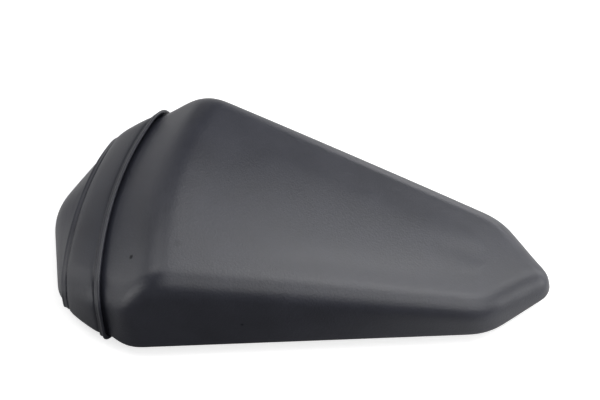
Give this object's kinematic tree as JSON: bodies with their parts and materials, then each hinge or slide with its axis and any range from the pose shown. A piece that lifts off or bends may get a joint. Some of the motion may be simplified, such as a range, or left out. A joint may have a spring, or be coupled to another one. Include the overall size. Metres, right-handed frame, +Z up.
{
  "type": "motorcycle pillion seat",
  "caption": "Wedge-shaped rear passenger seat pad with a grab strap round its front slope, on a ribbed pan with a nose hook, a latch striker and rubber feet.",
  "frame": {"origin": "middle of the box in plan, on the plane of the rubber feet", "axes": "+X towards the tail, +Y to the rider's right, +Z up"},
  "size_m": [0.333, 0.185, 0.075],
  "materials": {
    "cover_vinyl": "matt grained vinyl, cool grey-black",
    "seat_foam": "open moulded foam, yellow",
    "pan_plastic": "injection moulded, fine spark texture",
    "strap_vinyl": "matt grained vinyl, a little darker than the cover",
    "strap_web": "woven webbing",
    "zinc_steel": "bright zinc plate",
    "insert_brass": "machined",
    "hook_steel": "folded and zinc plated sheet",
    "striker_steel": "bent round bar, zinc plated",
    "foot_rubber": "matt moulded rubber",
    "staple_steel": "galvanised wire"
  },
  "bodies": {
    "root": {"cover": "cover_vinyl", "foam_core": "seat_foam", "base_pan": "pan_plastic", "strap_sleeve": "strap_vinyl", "strap_webbing": "strap_web", "strap_plate_left": "zinc_steel", "strap_plate_right": "zinc_steel", "strap_screw_left": "zinc_steel", "strap_screw_right": "zinc_steel", "strap_insert_left": "insert_brass", "strap_insert_right": "insert_brass", "hook_plate": "hook_steel", "hook_rivet_left": "zinc_steel", "hook_rivet_right": "zinc_steel", "striker_plate": "hook_steel", "striker_loop": "striker_steel", "striker_bolt_front": "zinc_steel", "striker_bolt_rear": "zinc_steel", "striker_nut_front": "zinc_steel", "striker_nut_rear": "zinc_steel", "foot_front_left": "foot_rubber", "foot_front_right": "foot_rubber", "foot_mid_left": "foot_rubber", "foot_mid_right": "foot_rubber", "foot_tail": "foot_rubber", "cover_staples": "staple_steel"}
  },
  "joints": []
}
